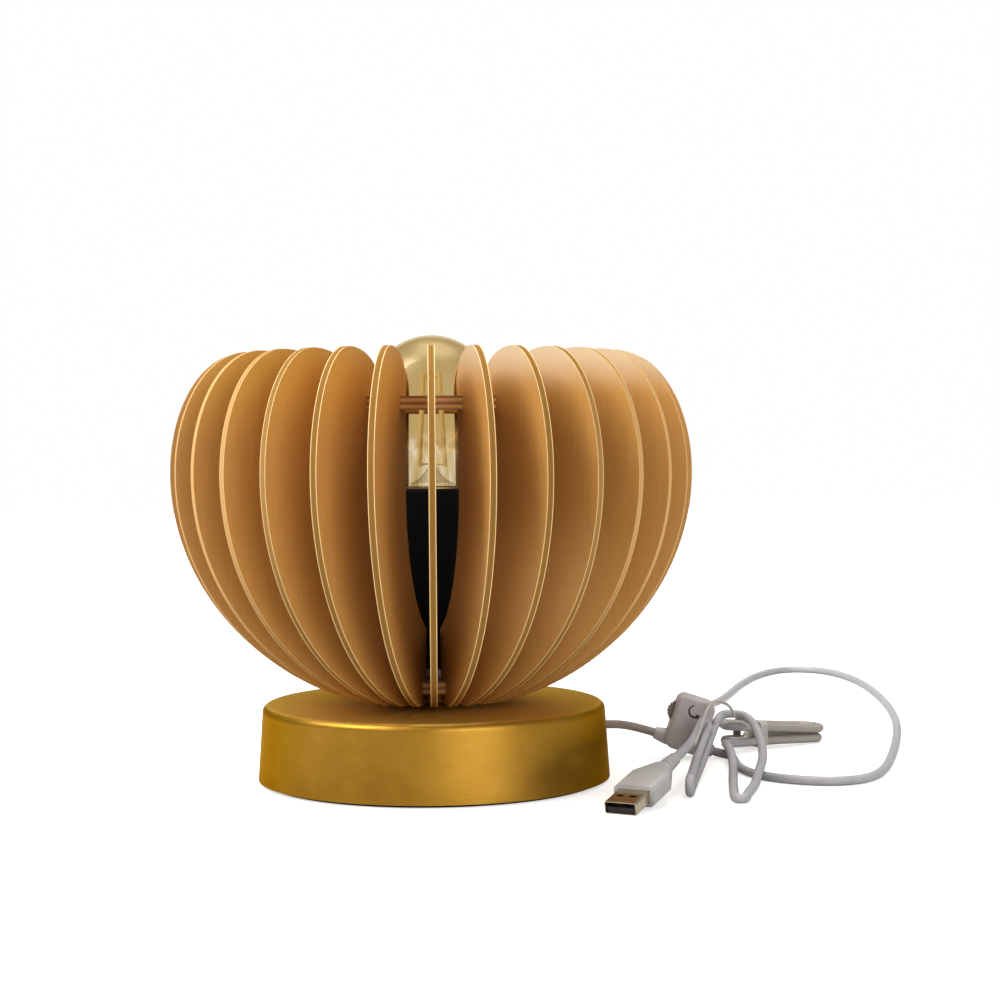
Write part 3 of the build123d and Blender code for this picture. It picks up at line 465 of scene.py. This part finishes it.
def metal(name, colour, darker, roughness, scale=300.0, stretch=(1.0, 1.0, 1.0)):
    """Sheet or turned metal: fine drawn lines and a little tarnish."""
    material, tree, shader = principled(name)
    _, x, y, z = place_of(tree)
    stretched = [times(tree, part, share) for part, share in zip((x, y, z), stretch)]
    drawn = noise(tree, vector_of(tree, *stretched), scale, detail=4.0)
    tree.links.new(ramp(tree, drawn, [(0.3, darker), (0.7, colour)]), shader.inputs["Base Color"])
    shader.inputs["Metallic"].default_value = 1.0
    tree.links.new(plus(tree, roughness, times(tree, drawn, 0.12)), shader.inputs["Roughness"])
    bump(tree, shader, drawn, 0.00002, 0.5)
    return material


def tinted_glass(name, tint, roughness, clear_share, rim_tint=None):
    """Thin glass: mostly see-through, tinted, with a sharp reflection that grows towards the rim."""
    material = bpy.data.materials.new(name)
    material.use_nodes = True
    tree = material.node_tree
    tree.nodes.clear()
    output = tree.nodes.new("ShaderNodeOutputMaterial")
    _, x, y, z = place_of(tree)
    streak_place = vector_of(tree, times(tree, x, 3.0), times(tree, y, 3.0), times(tree, z, 0.3))
    streaks = noise(tree, streak_place, 110.0, detail=3.0)
    through = tree.nodes.new("ShaderNodeBsdfTransparent")
    facing = tree.nodes.new("ShaderNodeLayerWeight")
    facing.inputs["Blend"].default_value = 0.35
    thick = blend_colours(tree, facing.outputs["Facing"], tint, rim_tint or tint)
    # Painted glints: pale upright streaks in the neck turn its see-through colour near white
    in_neck = rest_of_one(tree, smooth_step(tree, z, neck_top_height, globe_foot_height))
    drawn = times(tree, smooth_step(tree, streaks, 0.42, 0.62), in_neck)
    painted_glint_colour = blend_colours(tree, times(tree, drawn, 0.75), thick, (0.97, 0.95, 0.93))
    tree.links.new(painted_glint_colour, through.inputs["Color"])
    gloss = tree.nodes.new("ShaderNodeBsdfGlossy")
    gloss.inputs["Roughness"].default_value = roughness
    gloss.inputs["Color"].default_value = (1.0, 0.98, 0.93, 1.0)
    mirror = tree.nodes.new("ShaderNodeFresnel")
    mirror.inputs["IOR"].default_value = 1.5
    mix = tree.nodes.new("ShaderNodeMixShader")
    tree.links.new(times(tree, mirror.outputs["Fac"], 1.0 - clear_share), mix.inputs["Fac"])
    tree.links.new(through.outputs["BSDF"], mix.inputs[1])
    tree.links.new(gloss.outputs["BSDF"], mix.inputs[2])
    tree.links.new(mix.outputs["Shader"], output.inputs["Surface"])
    return material


def apply_materials():
    materials = {
        "fin_plywood": fin_plywood(),
        "ring_plywood": ring_plywood(),
        "base_gold": base_gold(),
        "base_iron": metal("base_iron", (0.12, 0.12, 0.12), (0.06, 0.06, 0.06), 0.6),
        "foot_felt": moulded("foot_felt", (0.012, 0.012, 0.012), (0.006, 0.006, 0.006), 0.9, 0.0001),
        "fixing_steel": metal("fixing_steel", (0.45, 0.45, 0.46), (0.3, 0.3, 0.31), 0.35),
        "collar_metal": metal("collar_metal", (0.16, 0.10, 0.03), (0.10, 0.06, 0.02), 0.4),
        "holder_black": moulded("holder_black", (0.003, 0.003, 0.003), (0.0015, 0.0015, 0.0015), 0.85,
                                gloss=0.1),
        "core_ceramic": moulded("core_ceramic", (0.75, 0.73, 0.68), (0.65, 0.63, 0.58), 0.25),
        "contact_brass": metal("contact_brass", (0.75, 0.52, 0.2), (0.6, 0.4, 0.14), 0.25),
        "amber_glass": tinted_glass("amber_glass", (0.84, 0.768, 0.61), 0.34, 0.90, (0.82, 0.735, 0.56)),
        "cap_metal": metal("cap_metal", (0.7, 0.5, 0.25), (0.5, 0.36, 0.16), 0.3),
        "solder": metal("solder", (0.5, 0.5, 0.52), (0.35, 0.35, 0.37), 0.45),
        "stem_glass": tinted_glass("stem_glass", (0.96, 0.95, 0.92), 0.10, 0.6),
        "filament_yellow": moulded("filament_yellow", (0.90, 0.80, 0.55), (0.82, 0.72, 0.46), 0.5),
        "grommet_rubber": moulded("grommet_rubber", (0.20, 0.18, 0.17), (0.16, 0.145, 0.135), 0.6),
        "dimmer_plastic": moulded("dimmer_plastic", (0.41, 0.375, 0.385), (0.36, 0.33, 0.34), 0.45),
        "wheel_plastic": moulded("wheel_plastic", (0.25, 0.21, 0.19), (0.21, 0.175, 0.16), 0.5),
        "plug_steel": metal("plug_steel", (0.56, 0.49, 0.37), (0.48, 0.41, 0.30), 0.16, 120.0,
                            (1.0, 0.3, 1.0)),
        "tongue_black": moulded("tongue_black", (0.01, 0.01, 0.01), (0.006, 0.006, 0.006), 0.4),
        "plug_plastic": moulded("plug_plastic", (0.40, 0.395, 0.39), (0.355, 0.35, 0.345), 0.35),
        "cord_vinyl": cord_vinyl(),
        "tie_paper": moulded("tie_paper", (0.42, 0.40, 0.38), (0.36, 0.34, 0.32), 0.6),
        "mark_black": moulded("mark_black", (0.012, 0.010, 0.012), (0.008, 0.007, 0.008), 0.5),
    }
    for part in frame["record"]["subparts"]:
        piece = frame["nodes"][part["node"]]
        piece.data.materials.clear()
        piece.data.materials.append(materials[part["material_slot"]])
    return materials


# Cord

def heading(azimuth, rise):
    level = math.cos(rise)
    return Vector((level * math.cos(azimuth), level * math.sin(azimuth), math.sin(rise)))


exit_line = heading(grommet_azimuth, 0)
dimmer_run = heading(dimmer_yaw, -dimmer_dip)
plug_back = heading(plug_yaw, plug_rise)
hank_run = heading(hank_azimuth, -hank_dip)
hank_side = Vector((-math.sin(hank_azimuth), math.cos(hank_azimuth), 0))
hank_rise = hank_run.cross(hank_side)


def on_exit_line(radius):
    return exit_line * radius + Vector((0, 0, grommet_height))


def on_dimmer_axis(distance):
    return dimmer_centre + dimmer_run * distance


def on_plug_axis(setback):
    return plug_tip + plug_back * setback


def hank_point(along, across, layer):
    share = min(1.0, max(0.0, (hank_half_run - along) / (2 * hank_half_run)))
    lift = layer * (hank_pitch + hank_fan * share)
    return hank_centre + hank_run * along + hank_side * across + hank_rise * lift


hank_start = hank_point(-hank_half_run - hank_lead, hank_turn_radius + hank_pitch, 1)
hank_end = hank_point(-hank_half_run - hank_lead, -hank_turn_radius - hank_pitch, 0)

lead_points = [
    (0.0000, 0.0000, 0.0780),
    (0.0003, -0.0003, 0.0660),
    (-0.0008, -0.0005, 0.0520),
    (0.0007, 0.0004, 0.0370),
    (0.0002, 0.0001, 0.0235),
    (0.0059, 0.0036, 0.0144),
    (0.0178, 0.0113, 0.0134),
    (0.0342, 0.0192, 0.0142),
    on_exit_line(0.0580),
    on_exit_line(0.0790),
    on_dimmer_axis(-0.0225),
    on_dimmer_axis(-boot_seat),
]

loop_points = [
    on_dimmer_axis(boot_seat),
    on_dimmer_axis(0.0156),
    (0.1203, 0.0359, on_table),
    (0.1205, 0.0260, on_table),
    (0.1195, 0.0130, on_table),
    (0.1197, -0.0010, on_table),
    (0.1240, -0.0155, on_table),
    (0.1342, -0.0260, on_table),
    (0.1466, -0.0315, on_table),
    (0.1586, -0.0295, on_table),
    (0.1682, -0.0195, on_table),
    (0.1760, -0.0015, on_table),
    (0.1845, 0.0260, on_table),
    (0.1955, 0.0660, on_table),
    (0.2075, 0.1160, on_table),
    (0.2170, 0.1720, on_table),
    (0.2230, 0.2320, on_table),
    (0.2250, 0.2900, on_table),
    (0.2170, 0.3340, on_table),
    (0.1960, 0.3440, on_table),
    (0.1770, 0.3180, on_table),
    (0.1610, 0.2760, on_table),
    (0.1470, 0.2280, 0.0019),
    (0.1345, 0.1800, 0.0043),
    (0.1250, 0.1410, 0.0086),
    (0.1160, 0.1090, 0.0120),
    (0.1096, 0.0890, 0.0134),
    (0.1058, 0.0765, 0.0134),
    (0.1064, 0.0655, 0.0130),
    hank_start - hank_run * hank_corner_setback,
    hank_start,
]

tail_points = [
    hank_end,
    hank_end - hank_run * hank_corner_setback,
    (0.1194, 0.0405, 0.0059),
    (0.1189, 0.0280, 0.0057),
    (0.1178, 0.0130, 0.0055),
    (0.1159, -0.0040, 0.0029),
    (0.1129, -0.0229, 0.0019),
    (0.1102, -0.0428, 0.0019),
    (0.1079, -0.0605, 0.0019),
    (0.1080, -0.0637, 0.0019),
    (0.1091, -0.0652, 0.0019),
    (0.1106, -0.0651, 0.0019),
    (0.1116, -0.0636, 0.0019),
    (0.1123, -0.0605, 0.0019),
    (0.1142, -0.0530, 0.0019),
    (0.1191, -0.0369, 0.0019),
    (0.1216, -0.0270, 0.0039),
    (0.1250, -0.0150, 0.0060),
    (0.1272, -0.0040, 0.0062),
    (0.1290, 0.0060, 0.0060),
    (0.1310, 0.0200, 0.0077),
    (0.1316, 0.0330, 0.0110),
    (0.1313, 0.0450, 0.0140),
    (0.1280, 0.0544, 0.0162),
    (0.1198, 0.0548, 0.0162),
    (0.1166, 0.0460, 0.0146),
    (0.1131, 0.0330, 0.0126),
    (0.1096, 0.0200, 0.0096),
    (0.1056, 0.0030, 0.0071),
    (0.1014, -0.0140, 0.0048),
    (0.0972, -0.0310, 0.0030),
    (0.0948, -0.0416, 0.0019),
    (0.0933, -0.0493, 0.0019),
    (0.0929, -0.0525, 0.0020),
    (0.0926, -0.0541, 0.0035),
    (0.0926, -0.0541, 0.0057),
    (0.0929, -0.0525, 0.0072),
    (0.0936, -0.0480, 0.0068),
    (0.0948, -0.0410, 0.0062),
    (0.0975, -0.0280, 0.0071),
    (0.1010, -0.0110, 0.0089),
    (0.1050, 0.0060, 0.0112),
    (0.1085, 0.0200, 0.0133),
    (0.1101, 0.0253, 0.0142),
    (0.1106, 0.0273, 0.0146),
    (0.1102, 0.0286, 0.0156),
    (0.1092, 0.0285, 0.0167),
    (0.1083, 0.0271, 0.0170),
    (0.1075, 0.0248, 0.0167),
    (0.1062, 0.0210, 0.0161),
    (0.1040, 0.0130, 0.0146),
    (0.1007, 0.0000, 0.0135),
    (0.0964, -0.0170, 0.0134),
    on_plug_axis(0.0545),
    on_plug_axis(plug_seat),
]

# Each run of the hank is a side, a track (0 inner, 1 outer) and the layers at its start and end
hank_runs = [
    (1, 1, 1, 1),
    (-1, 1, 1, 1),
    (1, 0, 1, 1),
    (-1, 0, 1, 0),
    (1, 0, 0, 0),
    (-1, 1, 0, 0),
]


def hank_points():
    """Runs drawn in at the waist, joined by half turns whose points stand just outside the arc."""
    points = []
    way = 1
    for index, (side, track, first_layer, last_layer) in enumerate(hank_runs):
        across = side * (hank_turn_radius + track * hank_pitch)
        waist = side * (hank_waist_offset + track * hank_waist_pitch)
        middle_layer = (first_layer + last_layer) / 2
        ends = (-way * hank_half_run, way * hank_half_run)
        gap = hank_half_run / 5
        points.append(hank_point(ends[0], across, first_layer))
        points.append(hank_point(ends[0] + way * gap, across, first_layer))
        points.append(hank_point(hank_waist_along - way * gap, waist, middle_layer))
        points.append(hank_point(hank_waist_along + way * gap, waist, middle_layer))
        points.append(hank_point(ends[1] - way * gap, across, last_layer))
        points.append(hank_point(ends[1], across, last_layer))
        if index + 1 < len(hank_runs):
            next_side, next_track, _, _ = hank_runs[index + 1]
            next_across = next_side * (hank_turn_radius + next_track * hank_pitch)
            reach = abs(across - next_across) / 2
            outside = reach / math.cos(math.pi / (2 * turn_steps))
            middle = (across + next_across) / 2
            swing = math.copysign(1, across - next_across)
            for step in range(turn_steps):
                angle = math.pi * (step + 0.5) / turn_steps
                points.append(hank_point(ends[1] + way * outside * math.sin(angle),
                                         middle + swing * outside * math.cos(angle), last_layer))
        way = -way
    return points


def open_spline(curve, points):
    spline = curve.splines.new("NURBS")
    spline.points.add(len(points) - 1)
    for knot, point in zip(spline.points, points):
        knot.co = (*point, 1.0)
    spline.order_u = 3
    spline.use_endpoint_u = True


def cord_curve(name, points, body):
    """One smooth open spline through the route, with the cord's round section."""
    curve = bpy.data.curves.new(name, "CURVE")
    curve.dimensions = "3D"
    curve.bevel_depth = cord_radius
    curve.bevel_resolution = 6
    curve.resolution_u = 12
    curve.use_fill_caps = True
    open_spline(curve, points)
    cord = bpy.data.objects.new(name, curve)
    bpy.context.scene.collection.objects.link(cord)
    cord.data.materials.append(materials["cord_vinyl"])
    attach(cord, body)
    return cord


# Details

def dimmer_mark():
    """Printed sign on the dimmer's front: an open ring that ends in an arrowhead."""
    centre = Vector((0.0, mark_height))
    corners = []
    for step in range(mark_steps + 1):
        angle = mark_start + mark_sweep * step / mark_steps
        half_width = mark_half_width + mark_widening * step / mark_steps
        for reach in (mark_radius - half_width, mark_radius + half_width):
            corners.append(centre + Vector((math.cos(angle), math.sin(angle))) * reach)
    faces = [(2 * step, 2 * step + 1, 2 * step + 3, 2 * step + 2) for step in range(mark_steps)]
    end = mark_start + mark_sweep
    along = Vector((-math.sin(end), math.cos(end)))
    outwards = Vector((math.cos(end), math.sin(end)))
    arrow_foot = centre + outwards * mark_radius
    first = len(corners)
    corners.append(arrow_foot - outwards * mark_arrow_inside)
    corners.append(arrow_foot + outwards * mark_arrow_outside)
    corners.append(arrow_foot + along * mark_arrow_length)
    faces.append((first, first + 1, first + 2))
    front = Vector((math.sin(dimmer_yaw), -math.cos(dimmer_yaw), 0))
    up = front.cross(dimmer_run)
    face = dimmer_centre + front * (dimmer_depth / 2 + mark_gap)
    mesh = bpy.data.meshes.new("dimmer_mark")
    mesh.from_pydata([face + dimmer_run * corner.x + up * corner.y for corner in corners], [], faces)
    mark = bpy.data.objects.new("dimmer_mark", mesh)
    bpy.context.scene.collection.objects.link(mark)
    mesh.materials.append(materials["mark_black"])
    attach(mark, "lamp")


def tie_tails():
    """Free ends of the paper-covered wire that holds the folds together beside the dimmer."""
    curve = bpy.data.curves.new("tie_tails", "CURVE")
    curve.dimensions = "3D"
    curve.bevel_depth = tie_wire_radius
    curve.bevel_resolution = 3
    curve.use_fill_caps = True
    open_spline(curve, [
        (0.1240, 0.0485, 0.0160),
        (0.1233, 0.0470, 0.0183),
        (0.1210, 0.0450, 0.0213),
        (0.1169, 0.0400, 0.0234),
        (0.1132, 0.0340, 0.0240),
        (0.1107, 0.0290, 0.0226),
        (0.1084, 0.0225, 0.0204),
        (0.1060, 0.0140, 0.0176),
        (0.1031, 0.0030, 0.0150),
        (0.1005, -0.0080, 0.0130),
    ])
    tails = bpy.data.objects.new("tie_tails", curve)
    bpy.context.scene.collection.objects.link(tails)
    curve.materials.append(materials["tie_paper"])
    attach(tails, "lamp")


place_camera()
white_world()
lay_floor()
area_light("key", (-0.85, -0.35, 1.25), (0, 0, 0.12), 0.8, key_power, (1.0, 0.985, 0.95))
area_light("fill", (0.75, -1.5, 0.65), (0, 0, 0.08), 1.2, fill_power, (1.0, 0.98, 0.95))
area_light("top", (0.1, 0.35, 1.4), (0, 0, 0.09), 1.0, top_power, (1.0, 0.985, 0.95))
materials = apply_materials()

lead = cord_curve("lead_wire", lead_points, "lamp")
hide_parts("cord_lead")

cable = cord_curve("loop_wire", loop_points[:-1] + [hank_start] + hank_points() + tail_points, "lamp")
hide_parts("cord_loop", "cord_hank", "cord_tail")

dimmer_mark()
tie_tails()

bpy.context.scene.view_settings.view_transform = "Standard"
